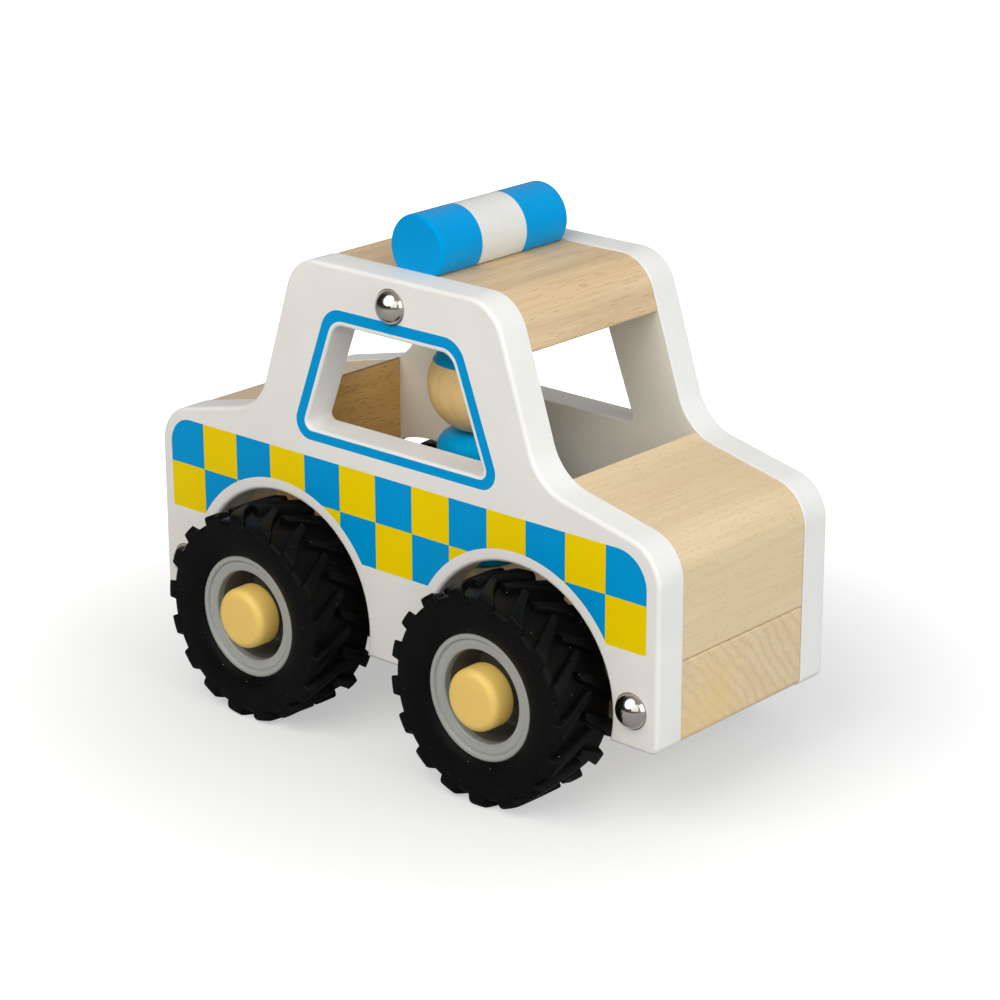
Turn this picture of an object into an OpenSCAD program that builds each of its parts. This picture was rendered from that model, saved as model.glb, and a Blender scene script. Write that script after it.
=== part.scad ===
// Wooden toy police car: two painted side panels clamped on beech blocks by
// three tie rods, four rubber wheels on steel axles, a peg driver, a light bar.
// Millimetres. +X is forwards, +Y is the car's left, +Z is up.
// The origin is on the ground under the middle of the car.

/* [Body] */
// Length of the side panels and of the chassis block
car_length = 151; // [142:1:165]
// Thickness of a side panel
panel_t = 8.2; // [6:0.1:9]
// Width of the wooden blocks between the panels
block_w = 42.5; // [38:0.1:46]
// Height of the panels' lower edge over the ground
belly_z = 18.6; // [17:0.1:20]
// Height of the roof
roof_z = 109.2; // [104:0.1:116]
// Height at which the bonnet line would meet the end of the car
nose_z = 63.9; // [60:0.1:67]
// Distance of the windscreen's foot from the middle
valley_x = 42.3; // [40:0.1:44]
// Height of the windscreen's foot
valley_z = 71.45; // [69:0.05:74]
// Distance of the roof's corner from the middle
roof_x = 29.95; // [27:0.05:32]
// Rounding of the car's upper end corners
nose_r = 10; // [5:0.5:12]
// Rounding in the windscreen's foot
valley_r = 13; // [6:0.5:14]
// Rounding of the roof's corners
roof_r = 10; // [5:0.5:11]
// Rounding of the lower end corners
belly_r = 2; // [0.5:0.5:4]

/* [Blocks] */
// Height of the chassis block's top
chassis_z = 37.7; // [36:0.1:40]
// Distance of the bonnet block's inner face from the middle
bonnet_x = 45.8; // [43:0.1:48]
// Distance of the boot block's inner face from the middle
boot_x = 44.9; // [43:0.1:48]
// Height of the roof block's underside
ceiling_z = 97; // [96.5:0.1:99]

/* [Windows] */
// Height of the window sill
sill_z = 69.8; // [68.5:0.1:72]
// Height of the window's top
lintel_z = 95.5; // [93.5:0.1:96.5]
// Half of the window's width at the middle of its height
window_half = 22.4; // [19:0.1:23]
// How far the window's sides lean in, in mm for each mm of height
window_lean = 0.38; // [0.25:0.005:0.45]
// Rounding of the window's upper corners
window_r = 4; // [2:0.5:6]
// Rounding of the window's lower corners
sill_r = 1.5; // [1:0.5:4]

/* [Wheels] */
// Distance of each axle from the middle of the car
axle_x = 35.8; // [34:0.1:37.5]
// Radius of the tyres over their lugs
tyre_r = 24.8; // [23:0.1:25.5]
// Distance of a tyre's inner side from the middle plane
tyre_in = 24.2; // [23.4:0.1:25]
// Distance of a tyre's outer side from the middle plane
tyre_out = 43; // [41.5:0.1:44]
// Radius of the rim's flange
flange_r = 14.6; // [14:0.05:15]
// Radius of the hollow in the hub
hollow_r = 10.7; // [9.5:0.1:11]
// Radius of the axle caps
cap_r = 7.2; // [6:0.1:8]
// Distance of an axle cap's end from the middle plane
cap_out = 44; // [43:0.1:45.5]
// Length of an axle cap
cap_l = 6.5; // [5.5:0.1:7]
// Radius of the wheel arches
arch_r = 27.2; // [26.5:0.1:28.5]
// Radius of the axles
axle_r = 2; // [1.5:0.1:2.5]
// Radial play of a hub on its axle
axle_play = 0.06; // [0.02:0.01:0.1]

/* [Fasteners] */
// Radius of the tie rods
rod_r = 1.5; // [1:0.1:2]
// Radius of a dome cap
dome_r = 4.1; // [3.5:0.1:4.5]
// Height of a dome cap
dome_h = 3; // [2.4:0.1:3.4]
// Distance of the lower tie rods from the middle of the car
low_rod_x = 68.5; // [66.5:0.5:69.5]
// Height of the lower tie rods
low_rod_z = 27.4; // [25:0.1:32]
// Height of the roof's tie rod
roof_rod_z = 102.8; // [101.5:0.1:104]

/* [Light bar] */
// Radius of the light bar
bar_r = 7.8; // [7:0.1:9]
// Height of the bar's axis over the roof
bar_lift = 4.9; // [4:0.1:6]
// Length of the light bar
bar_l = 42; // [36:0.5:42]
// Place of the bar along the roof
bar_x = -0.3; // [-5:0.1:5]
// Place of the bar across the roof
bar_y = 0.5; // [-1:0.1:1]

/* [Driver] */
// Place of the driver along the car
driver_x = 1.2; // [-4:0.1:6]
// Radius of the driver's body at its foot
torso_r = 11; // [10:0.1:13]
// Radius of the driver's body at its shoulders
shoulder_r = 9.5; // [9:0.1:11]
// Height of the driver's shoulders
neck_z = 67.5; // [64:0.1:69]
// Radius of the driver's head
head_r = 11.5; // [10:0.1:12]

/* [Hidden] */
$fn = 96;

white = "#e4e1db";
beech = "#dfc49c";
blue = "#0a93d2";
half_l = car_length / 2;
inner_y = block_w / 2;
outer_y = inner_y + panel_t;
axle_z = tyre_r;
bead_r = flange_r - 1.55;
rim_out = tyre_out - 1.8;
rim_in = tyre_in - 0.2;
web_out = 29.2;
web_in = 26.2;
cap_in = cap_out - cap_l;
boss_out = cap_in - 0.3;
washer_t = 1;
hub_in = inner_y + washer_t + 0.3;
axle_end = cap_out - 3;
head_z = neck_z + sqrt(head_r * head_r - 2.9 * 2.9);
rod_end = outer_y + dome_h - 1.1;

// The outline of the car is symmetric: nose, windscreen's foot and roof corner
// are given once and mirrored.
corners = [
    [[half_l, belly_z], belly_r],
    [[half_l, nose_z], nose_r],
    [[valley_x, valley_z], valley_r],
    [[roof_x, roof_z], roof_r],
    [[-roof_x, roof_z], roof_r],
    [[-valley_x, valley_z], valley_r],
    [[-half_l, nose_z], nose_r],
    [[-half_l, belly_z], belly_r]
];

function unit(v) = v / norm(v);
function turn(v) = atan2(v[1], v[0]);
// Short way round from one angle to another
function sweep(a, b) = let (d = b - a) d > 180 ? d - 360 : d < -180 ? d + 360 : d;
// Points of the arc that rounds corner v between its neighbours a and b
function fillet(a, v, b, r, n = 12) =
    let (u = unit(a - v), w = unit(b - v), h = acos(u * w) / 2,
         c = v + unit(u + w) * r / sin(h),
         t1 = v + u * r / tan(h), t2 = v + w * r / tan(h),
         a1 = turn(t1 - c), d = sweep(a1, turn(t2 - c)))
    [for (i = [0:n]) c + r * [cos(a1 + d * i / n), sin(a1 + d * i / n)]];
// A closed outline with every corner rounded
function rounded(k, n = 12) = let (m = len(k))
    [for (i = [0:m - 1])
        for (p = fillet(k[(i + m - 1) % m][0], k[i][0], k[(i + 1) % m][0], k[i][1], n)) p];

window_mid = (sill_z + lintel_z) / 2;
window_rise = (lintel_z - sill_z) / 2;
window_foot = window_half + window_lean * window_rise;
window_head = window_half - window_lean * window_rise;
window_corners = [
    [[window_foot, sill_z], sill_r],
    [[window_head, lintel_z], window_r],
    [[-window_head, lintel_z], window_r],
    [[-window_foot, sill_z], sill_r]
];

// A flat outline in X and Z, standing between y0 and y1
module standing(y0, y1) {
    translate([0, y1, 0]) rotate([90, 0, 0]) linear_extrude(y1 - y0) children();
}

// A rod across the car
module across(x, z, r, y0, y1) {
    translate([x, y0, z]) rotate([-90, 0, 0]) cylinder(r = r, h = y1 - y0);
}

module car_outline() polygon(rounded(corners));

// One block of the body: the part of the outline inside a window of X and Z
module body_block(x0, x1, z0, z1) {
    intersection() {
        standing(-inner_y, inner_y) car_outline();
        translate([x0, -inner_y - 1, z0]) cube([x1 - x0, block_w + 2, z1 - z0]);
    }
}

module tie_rod_holes(y0, y1) {
    across(0, roof_rod_z, rod_r, y0, y1);
    for (s = [-1, 1]) across(s * low_rod_x, low_rod_z, rod_r, y0, y1);
}

module side_panel() {
    difference() {
        standing(inner_y, outer_y) car_outline();
        standing(inner_y - 1, outer_y + 1) polygon(rounded(window_corners, 8));
        for (s = [-1, 1]) across(s * axle_x, axle_z, arch_r, inner_y - 1, outer_y + 1);
        tie_rod_holes(inner_y - 1, outer_y + 1);
    }
}

module left_side_panel() color(white) side_panel();
// The same panel turned end for end
module right_side_panel() color(white) rotate([0, 0, 180]) side_panel();

module chassis_block() color(beech) difference() {
    body_block(-half_l, half_l, belly_z - 1, chassis_z);
    for (s = [-1, 1]) {
        across(s * axle_x, axle_z, axle_r, -inner_y - 1, inner_y + 1);
        across(s * low_rod_x, low_rod_z, rod_r, -inner_y - 1, inner_y + 1);
    }
    translate([driver_x, 0, belly_z - 1]) cylinder(r = 1.75, h = chassis_z - belly_z + 2);
    translate([driver_x, 0, belly_z]) cylinder(r1 = 3.75, r2 = 1.75, h = 2);
}

module bonnet_block() color(beech) body_block(bonnet_x, half_l + 1, chassis_z, roof_z);

module boot_block() color(beech) body_block(-half_l - 1, -boot_x, chassis_z, roof_z);

module roof_block() color(beech) difference() {
    body_block(-half_l, half_l, ceiling_z, roof_z + 1);
    across(0, roof_rod_z, rod_r, -inner_y - 1, inner_y + 1);
    bar_dowels();
}

module bar_dowels() {
    for (s = [-1, 1])
        translate([bar_x, bar_y + s * bar_l / 3.5, roof_rod_z + rod_r + 0.6]) cylinder(r = 3, h = 10);
}

module light_bar() color(blue) difference() {
    translate([bar_x, bar_y, roof_z + bar_lift]) rotate([-90, 0, 0]) rotate_extrude()
        polygon([[0, -bar_l / 2], [bar_r - 0.9, -bar_l / 2], [bar_r - 0.27, -bar_l / 2 + 0.27],
                 [bar_r, -bar_l / 2 + 0.9], [bar_r, bar_l / 2 - 0.9],
                 [bar_r - 0.27, bar_l / 2 - 0.27], [bar_r - 0.9, bar_l / 2], [0, bar_l / 2]]);
    translate([bar_x - 20, -bar_l, roof_z - 20]) cube([40, 2 * bar_l, 20]);
    bar_dowels();
}

module light_bar_dowels() color(beech) bar_dowels();

module roof_tie_rod() color("silver") across(0, roof_rod_z, rod_r, -rod_end, rod_end);
module front_tie_rod() color("silver") across(low_rod_x, low_rod_z, rod_r, -rod_end, rod_end);
module rear_tie_rod() color("silver") across(-low_rod_x, low_rod_z, rod_r, -rod_end, rod_end);

// A domed cap pushed on a rod's end, standing on the panel's outer face
module dome_cap() {
    ball = (dome_r * dome_r + dome_h * dome_h) / (2 * dome_h);
    difference() {
        translate([0, 0, dome_h - ball]) sphere(r = ball);
        translate([0, 0, -20]) cube([40, 40, 40], center = true);
        translate([0, 0, -1]) cylinder(r = rod_r, h = dome_h - 0.1);
    }
}

module dome_caps() color("gainsboro")
    for (s = [0, 1], p = [[0, roof_rod_z], [low_rod_x, low_rod_z], [-low_rod_x, low_rod_z]])
        mirror([0, s, 0]) translate([p[0], outer_y, p[1]]) rotate([-90, 0, 0]) dome_cap();

module front_axle() color("silver") across(axle_x, axle_z, axle_r, -axle_end, axle_end);
module rear_axle() color("silver") across(-axle_x, axle_z, axle_r, -axle_end, axle_end);

// Puts a shape whose Z runs outwards from the middle plane at one wheel:
// end is 1 in front and -1 behind, side is 1 on the left and -1 on the right
module at_wheel(end, side) {
    translate([end * axle_x, 0, axle_z]) mirror([0, side < 0 ? 1 : 0, 0])
        rotate([-90, 0, 0]) children();
}

module wheel_washers() color("silver")
    for (e = [-1, 1], s = [-1, 1]) at_wheel(e, s) translate([0, 0, inner_y]) difference() {
        cylinder(r = 4.5, h = washer_t);
        translate([0, 0, -1]) cylinder(r = axle_r, h = washer_t + 2);
    }

// The tyre out to the tips of its lugs, with upright shoulders
module tyre() rotate_extrude() polygon([
    [bead_r, rim_in + 1], [flange_r, rim_in + 1], [flange_r, rim_in + 0.4],
    [flange_r + 1, tyre_in + 0.6], [flange_r + 3, tyre_in], [tyre_r - 2, tyre_in],
    [tyre_r - 0.4, tyre_in + 0.3], [tyre_r, tyre_in + 0.8],
    [tyre_r, tyre_out - 0.8], [tyre_r - 0.4, tyre_out - 0.3], [tyre_r - 2, tyre_out],
    [flange_r + 3.4, tyre_out], [flange_r + 1, rim_out + 0.9],
    [flange_r, rim_out + 0.1], [flange_r, rim_out - 1.2], [bead_r, rim_out - 1.2]
]);

// Rim with a web, a long boss on the axle and a hollow on each side
module hub() rotate_extrude() polygon([
    [axle_r + axle_play, hub_in], [5, hub_in], [5, web_in], [hollow_r, web_in],
    [hollow_r, rim_in], [flange_r, rim_in], [flange_r, rim_in + 1], [bead_r, rim_in + 1],
    [bead_r, rim_out - 1.2], [flange_r, rim_out - 1.2], [flange_r, rim_out - 0.5],
    [flange_r - 0.5, rim_out], [flange_r - 1.3, rim_out], [flange_r - 1.6, rim_out - 0.35],
    [flange_r - 1.9, rim_out - 0.3], [hollow_r, rim_out - 0.9], [hollow_r, web_out],
    [5, web_out], [5, boss_out], [axle_r + axle_play, boss_out]
]);

// Cap pressed on the axle's end, with a softly rounded rim
module axle_cap() {
    e = 1.8;
    difference() {
        rotate_extrude() polygon(concat(
            [[0, cap_in], [cap_r - 0.4, cap_in], [cap_r, cap_in + 0.4]],
            [for (a = [0:15:90]) [cap_r - e + e * cos(a), cap_out - e + e * sin(a)]],
            [[0, cap_out]]));
        translate([0, 0, cap_in - 1]) cylinder(r = axle_r, h = axle_end - cap_in + 1);
    }
}

module front_left_tyre() color("#1b1b1b") at_wheel(1, 1) tyre();
module front_right_tyre() color("#1b1b1b") at_wheel(1, -1) tyre();
module rear_left_tyre() color("#1b1b1b") at_wheel(-1, 1) tyre();
module rear_right_tyre() color("#1b1b1b") at_wheel(-1, -1) tyre();

module front_left_hub() color("#a5a8a5") at_wheel(1, 1) hub();
module front_right_hub() color("#a5a8a5") at_wheel(1, -1) hub();
module rear_left_hub() color("#a5a8a5") at_wheel(-1, 1) hub();
module rear_right_hub() color("#a5a8a5") at_wheel(-1, -1) hub();

module front_left_axle_cap() color("#e4c46e") at_wheel(1, 1) axle_cap();
module front_right_axle_cap() color("#e4c46e") at_wheel(1, -1) axle_cap();
module rear_left_axle_cap() color("#e4c46e") at_wheel(-1, 1) axle_cap();
module rear_right_axle_cap() color("#e4c46e") at_wheel(-1, -1) axle_cap();

// Turned body with round shoulders and a flat on which the head stands
module driver_body() color(blue) translate([driver_x, 0, 0]) difference() {
    rotate_extrude() polygon(concat(
        [[0, chassis_z], [torso_r - 1, chassis_z], [torso_r, chassis_z + 1]],
        [for (a = [0:7.5:90]) [shoulder_r - 4 + 4 * cos(a), neck_z - 4 + 4 * sin(a)]],
        [[0, neck_z]]));
    translate([0, 0, chassis_z - 1]) cylinder(r = 1.75, h = 15);
    translate([0, 0, neck_z - 8]) cylinder(r = 2.5, h = 9);
}

module driver_head() color("#d2ab72") translate([driver_x, 0, 0]) difference() {
    translate([0, 0, head_z]) sphere(r = head_r);
    translate([-20, -20, neck_z - 40]) cube([40, 40, 40]);
    translate([0, 0, neck_z - 1]) cylinder(r = 2.5, h = 9);
}

module driver_neck_dowel() color(beech)
    translate([driver_x, 0, neck_z - 8]) cylinder(r = 2.5, h = 16);

module driver_screw() color("silver") translate([driver_x, 0, 0]) {
    translate([0, 0, belly_z]) cylinder(r1 = 3.75, r2 = 1.75, h = 2);
    translate([0, 0, belly_z + 1]) cylinder(r = 1.75, h = chassis_z - belly_z + 13);
}

left_side_panel();
right_side_panel();
chassis_block();
bonnet_block();
boot_block();
roof_block();
light_bar();
light_bar_dowels();
roof_tie_rod();
front_tie_rod();
rear_tie_rod();
dome_caps();
front_axle();
rear_axle();
wheel_washers();
front_left_tyre();
front_right_tyre();
rear_left_tyre();
rear_right_tyre();
front_left_hub();
front_right_hub();
rear_left_hub();
rear_right_hub();
front_left_axle_cap();
front_right_axle_cap();
rear_left_axle_cap();
rear_right_axle_cap();
driver_body();
driver_head();
driver_neck_dowel();
driver_screw();
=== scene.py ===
"""Looks of the wooden toy police car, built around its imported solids. Millimetres in here, metres in Blender."""

import math

import bmesh
import bpy
from mathutils import Matrix, Vector
from mathutils.geometry import delaunay_2d_cdt


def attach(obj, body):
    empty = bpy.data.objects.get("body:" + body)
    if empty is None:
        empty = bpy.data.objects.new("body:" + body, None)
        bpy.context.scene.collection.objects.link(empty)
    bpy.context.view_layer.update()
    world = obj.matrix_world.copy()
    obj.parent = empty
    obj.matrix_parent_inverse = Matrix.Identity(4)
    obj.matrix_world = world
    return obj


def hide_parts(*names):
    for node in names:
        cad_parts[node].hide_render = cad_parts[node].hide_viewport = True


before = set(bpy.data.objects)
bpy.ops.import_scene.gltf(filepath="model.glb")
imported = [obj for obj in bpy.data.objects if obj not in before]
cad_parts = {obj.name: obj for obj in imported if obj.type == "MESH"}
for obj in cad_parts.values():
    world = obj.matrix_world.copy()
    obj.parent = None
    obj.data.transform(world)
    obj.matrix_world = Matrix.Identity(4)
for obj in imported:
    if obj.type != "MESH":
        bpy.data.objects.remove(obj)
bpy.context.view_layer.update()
MM = 0.001

# ---------------------------------------------------------------- dimensions
HALF_L, BELLY, ROOF, NOSE = 75.5, 18.6, 109.2, 63.9
VALLEY, ROOF_X = (42.3, 71.45), 29.95
INNER_Y, OUTER_Y = 21.25, 29.45
CHASSIS_Z, CEILING = 37.7, 97.0
AXLE_X, AXLE_Z, ARCH_R = 35.8, 24.8, 27.2
EDGE_R, WINDOW_EDGE_R, BACK_R = 1.0, 0.6, 0.25
BAR_X, BAR_Y, BAR_Z, BAR_R, BAR_L = -0.3, 0.5, 114.1, 7.8, 42.0
DRIVER_X, TORSO_R, SHOULDER_R, NECK_Z, HEAD_R = 1.2, 11.0, 9.5, 67.5, 11.5
HEAD_Z = NECK_Z + math.sqrt(HEAD_R**2 - 2.9**2)
RODS = [(0.0, 102.8), (68.5, 27.4), (-68.5, 27.4)]

CAR = [
    ((HALF_L, BELLY), 2.0),
    ((HALF_L, NOSE), 10.0),
    (VALLEY, 13.0),
    ((ROOF_X, ROOF), 10.0),
    ((-ROOF_X, ROOF), 10.0),
    ((-VALLEY[0], VALLEY[1]), 13.0),
    ((-HALF_L, NOSE), 10.0),
    ((-HALF_L, BELLY), 2.0),
]


def trapezoid(z0, z1, front, rear, lean, low_r, high_r):
    """Rounded trapezoid: front and rear are its X at half height."""
    h = (z1 - z0) / 2
    return [
        ((front + lean * h, z0), low_r),
        ((front - lean * h, z1), high_r),
        ((rear + lean * h, z1), high_r),
        ((rear - lean * h, z0), low_r),
    ]


WINDOW = trapezoid(69.8, 95.5, 22.4, -22.4, 0.38, 1.5, 4.0)
RING_OUT = trapezoid(66.97, 99.15, 25.75, -26.1, 0.378, 4.2, 6.2)
RING_IN = trapezoid(69.13, 96.62, 23.16, -23.5, 0.376, 2.2, 4.6)
CHECK_X0, CHECK_S, CHECK_COLS = 72.34, 11.12, 13
CHECK_Z = (40.74, 51.86, 62.98)
CHECK_R = (6.6, 8.0)
MARGIN_R = 30.2


# ---------------------------------------------------------------- flat geometry
def sub(a, b):
    return (a[0] - b[0], a[1] - b[1])


def unit(v):
    n = math.hypot(v[0], v[1])
    return (v[0] / n, v[1] / n)


def cross(a, b):
    return a[0] * b[1] - a[1] * b[0]


def fillet(a, v, b, r, n):
    """Points of the arc that rounds corner v between a and b."""
    u, w = unit(sub(a, v)), unit(sub(b, v))
    h = math.acos(max(-1, min(1, u[0] * w[0] + u[1] * w[1]))) / 2
    m = unit((u[0] + w[0], u[1] + w[1]))
    c = (v[0] + m[0] * r / math.sin(h), v[1] + m[1] * r / math.sin(h))
    t = r / math.tan(h)
    p, q = (v[0] + u[0] * t, v[1] + u[1] * t), (v[0] + w[0] * t, v[1] + w[1] * t)
    a1, a2 = math.atan2(p[1] - c[1], p[0] - c[0]), math.atan2(q[1] - c[1], q[0] - c[0])
    d = (a2 - a1 + math.pi) % (2 * math.pi) - math.pi
    return [
        (c[0] + r * math.cos(a1 + d * i / n), c[1] + r * math.sin(a1 + d * i / n))
        for i in range(n + 1)
    ]


def inset(corners, d):
    """The same counterclockwise outline moved inwards by d, with its roundings kept concentric."""
    m, lines, out = len(corners), [], []
    for i in range(m):
        a, b = corners[i][0], corners[(i + 1) % m][0]
        u = unit(sub(b, a))
        lines.append(((a[0] - u[1] * d, a[1] + u[0] * d), u))
    for i in range(m):
        (p, u), (q, w) = lines[i - 1], lines[i]
        k = cross(sub(q, p), w) / cross(u, w)
        r = corners[i][1] + (-d if cross(u, w) > 0 else d)
        out.append(((p[0] + u[0] * k, p[1] + u[1] * k), max(r, 0.06)))
    return out


def rounded(corners, n):
    m, out = len(corners), []
    for i in range(m):
        out += fillet(corners[i - 1][0], corners[i][0], corners[(i + 1) % m][0], corners[i][1], n)
    return out


def panel_loop(d, n=22, n_arch=72):
    """Outline of a side panel with its two wheel arches, moved inwards by d."""
    pts = rounded(inset(CAR, d), n)
    r, z = ARCH_R + d, BELLY + d
    w = math.sqrt(r * r - (AXLE_Z - z) ** 2)
    low = math.atan2(AXLE_Z - z, w)
    for s in (-1, 1):
        for i in range(n_arch + 1):
            t = math.pi + low - (math.pi + 2 * low) * i / n_arch
            pts.append((s * AXLE_X + r * math.cos(t), AXLE_Z + r * math.sin(t)))
    return pts


def window_loop(d, n=14):
    return rounded(inset(WINDOW, -d), n)


def inside(p, loop):
    x, y, hit = p[0], p[1], False
    for i in range(len(loop)):
        (x0, y0), (x1, y1) = loop[i - 1], loop[i]
        if (y0 > y) != (y1 > y) and x < (x1 - x0) * (y - y0) / (y1 - y0) + x0:
            hit = not hit
    return hit


def clip(loop, axis, limit, keep_above):
    """Part of a closed outline on one side of a line of constant X (axis 0) or Z (axis 1)."""
    out = []
    ok = (lambda p: p[axis] >= limit) if keep_above else (lambda p: p[axis] <= limit)
    for i in range(len(loop)):
        a, b = loop[i - 1], loop[i]
        if ok(a) != ok(b):
            k = (limit - a[axis]) / (b[axis] - a[axis])
            out.append((a[0] + (b[0] - a[0]) * k, a[1] + (b[1] - a[1]) * k))
        if ok(b):
            out.append(b)
    clean = []
    for p in out:
        if not clean or math.hypot(p[0] - clean[-1][0], p[1] - clean[-1][1]) > 1e-4:
            clean.append(p)
    if math.hypot(clean[0][0] - clean[-1][0], clean[0][1] - clean[-1][1]) < 1e-4:
        clean.pop()
    return clean


def soften(loop, r, n=5, least=25):
    """Rounds the corners of a closed outline that turn by more than `least` degrees."""
    out, m = [], len(loop)
    for i in range(m):
        a, v, b = loop[i - 1], loop[i], loop[(i + 1) % m]
        u, w = unit(sub(v, a)), unit(sub(b, v))
        turn = abs(math.degrees(math.atan2(cross(u, w), u[0] * w[0] + u[1] * w[1])))
        out += fillet(a, v, b, r, n) if turn > least else [v]
    return out


def shrink(loop, d):
    """A counterclockwise outline moved inwards by a small d along its mitred corner normals."""
    out, m = [], len(loop)
    for i in range(m):
        u, w = unit(sub(loop[i], loop[i - 1])), unit(sub(loop[(i + 1) % m], loop[i]))
        k = d / max(0.3, 1 + u[0] * w[0] + u[1] * w[1])
        out.append((loop[i][0] - (u[1] + w[1]) * k, loop[i][1] + (u[0] + w[0]) * k))
    return out


# ---------------------------------------------------------------- meshes
def piece(name, verts, faces, mats, body, nodes=(), index=None, angle=38, merge=1e-4, weighted=True):
    """A mesh piece from points in mm. Its faces point outwards, and it rides on its body and stands for its nodes."""
    me = bpy.data.meshes.new(name)
    me.from_pydata([(x * MM, y * MM, z * MM) for x, y, z in verts], [], faces)
    for m in mats:
        me.materials.append(m)
    if index:
        me.polygons.foreach_set("material_index", index)
    bm = bmesh.new()
    bm.from_mesh(me)
    if merge:
        bmesh.ops.remove_doubles(bm, verts=bm.verts[:], dist=merge * MM)
        bmesh.ops.dissolve_degenerate(bm, edges=bm.edges[:], dist=merge * MM)
    bmesh.ops.recalc_face_normals(bm, faces=bm.faces[:])
    bm.to_mesh(me)
    bm.free()
    me.shade_smooth()
    me.set_sharp_from_angle(angle=math.radians(angle))
    ob = bpy.data.objects.new(name, me)
    bpy.context.scene.collection.objects.link(ob)
    if weighted:
        wn = ob.modifiers.new("normals", "WEIGHTED_NORMAL")
        wn.keep_sharp = True
        wn.weight = 70
    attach(ob, body)
    if nodes:
        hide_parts(*nodes)
    return ob


def strips(loops, closed=True):
    """Vertices and quads that join a list of equally long loops of 3-D points."""
    verts = [p for loop in loops for p in loop]
    n, faces = len(loops[0]), []
    for k in range(len(loops) - 1):
        for i in range(n if closed else n - 1):
            j = (i + 1) % n
            faces.append((k * n + i, k * n + j, (k + 1) * n + j, (k + 1) * n + i))
    return verts, faces


def extrude_y(loop, y0, y1, chamfer, cuts=(), arc=0):
    """A block of constant X-Z section between y0 and y1, its end edges eased by `chamfer`."""
    steps = [(chamfer, y0)]
    n = max(arc, 1)
    for i in range(1, n + 1):
        t = math.pi / 2 * i / n
        if arc:
            steps.append((chamfer * (1 - math.sin(t)), y0 + chamfer * (1 - math.cos(t))))
        else:
            steps.append((0.0, y0 + chamfer))
    steps += [(0.0, y) for y in cuts]
    steps += [(d, y0 + y1 - y) for d, y in reversed(steps[: n + 1])]
    loops = []
    for d, y in steps:
        flat = shrink(loop, d) if d else loop
        loops.append([(x, y, z) for x, z in flat])
    verts, faces = strips(loops)
    m = len(loop)
    faces.append(tuple(range(m)))
    faces.append(tuple(range(len(verts) - m, len(verts))))
    return verts, faces, [y for _, y in steps]


def lathe(profile, n, place, loop=False):
    """Revolves (r, h) points. place(r, h, angle) gives the 3-D point."""
    rings = []
    for r, h in profile:
        rings.append([place(r, h, 2 * math.pi * i / n) for i in range(n)])
    if loop:
        rings.append(rings[0])
    verts, faces = strips(rings)
    if not loop:
        faces.append(tuple(range(n)))
        faces.append(tuple(range(len(verts) - n, len(verts))))
    return verts, faces


def arc(cx, cy, r, a0, a1, n):
    """Arc points (degrees) in a lathe profile."""
    return [
        (cx + r * math.cos(math.radians(a0 + (a1 - a0) * i / n)), cy + r * math.sin(math.radians(a0 + (a1 - a0) * i / n)))
        for i in range(n + 1)
    ]


# ---------------------------------------------------------------- materials
class Nodes:
    """A short way to write a material's nodes."""

    def __init__(self, name):
        self.mat = bpy.data.materials.new(name)
        self.mat.use_nodes = True
        self.t = self.mat.node_tree
        self.t.nodes.clear()
        self.out = self.t.nodes.new("ShaderNodeOutputMaterial")
        self.bsdf = self.t.nodes.new("ShaderNodeBsdfPrincipled")
        self.t.links.new(self.bsdf.outputs[0], self.out.inputs[0])
        self.co = self.t.nodes.new("ShaderNodeTexCoord").outputs["Object"]

    def add(self, kind, inputs=None, **props):
        n = self.t.nodes.new("ShaderNode" + kind)
        for k, v in props.items():
            setattr(n, k, v)
        for k, v in (inputs or {}).items():
            if hasattr(v, "is_output"):
                self.t.links.new(v, n.inputs[k])
            else:
                n.inputs[k].default_value = v
        return n

    def link(self, a, b):
        self.t.links.new(a, b)

    def mapped(self, scale, offset=(0, 0, 0), turn=(0, 0, 0), co=None):
        return self.add("Mapping", {0: co or self.co, "Location": offset, "Rotation": turn, "Scale": scale}).outputs[0]

    def noise(self, co, scale, detail=3.0, rough=0.55, distort=0.0):
        n = self.add("TexNoise", {"Vector": co, "Scale": scale, "Detail": detail, "Roughness": rough, "Distortion": distort})
        return n.outputs[0]

    def remap(self, value, lo, hi, to_lo, to_hi, smooth=False):
        n = self.add(
            "MapRange",
            {0: value, 1: lo, 2: hi, 3: to_lo, 4: to_hi},
            interpolation_type="SMOOTHSTEP" if smooth else "LINEAR",
        )
        return n.outputs[0]

    def ramp(self, value, stops):
        n = self.add("ValToRGB", {0: value})
        e = n.color_ramp.elements
        while len(e) < len(stops):
            e.new(0.5)
        for i, (p, c) in enumerate(stops):
            e[i].position = p
            e[i].color = (*c, 1)
        return n.outputs[0]

    def mix(self, fac, a, b, blend="MIX"):
        n = self.t.nodes.new("ShaderNodeMix")
        n.data_type = "RGBA"
        n.blend_type = blend
        for k, v in ((0, fac), (6, a), (7, b)):
            if hasattr(v, "is_output"):
                self.t.links.new(v, n.inputs[k])
            elif k == 0:
                n.inputs[0].default_value = v
            else:
                n.inputs[k].default_value = (*v, 1)
        return n.outputs[2]

    def math(self, op, a, b=0.0, c=0.0):
        return self.add("Math", {0: a, 1: b, 2: c}, operation=op).outputs[0]

    def vec(self, op, a, b):
        return self.add("VectorMath", {0: a, 1: b}, operation=op)

    def colour(self, sock):
        self.link(sock, self.bsdf.inputs["Base Color"])

    def rough(self, sock):
        self.link(sock, self.bsdf.inputs["Roughness"])

    def set(self, **values):
        for k, v in values.items():
            self.bsdf.inputs[k.replace("_", " ")].default_value = v

    def bump(self, height, strength, distance):
        n = self.add("Bump", {"Height": height, "Strength": strength, "Distance": distance})
        self.link(n.outputs[0], self.bsdf.inputs["Normal"])


def lerp3(a, k):
    return tuple(max(0.0, x * k) for x in a)


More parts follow.
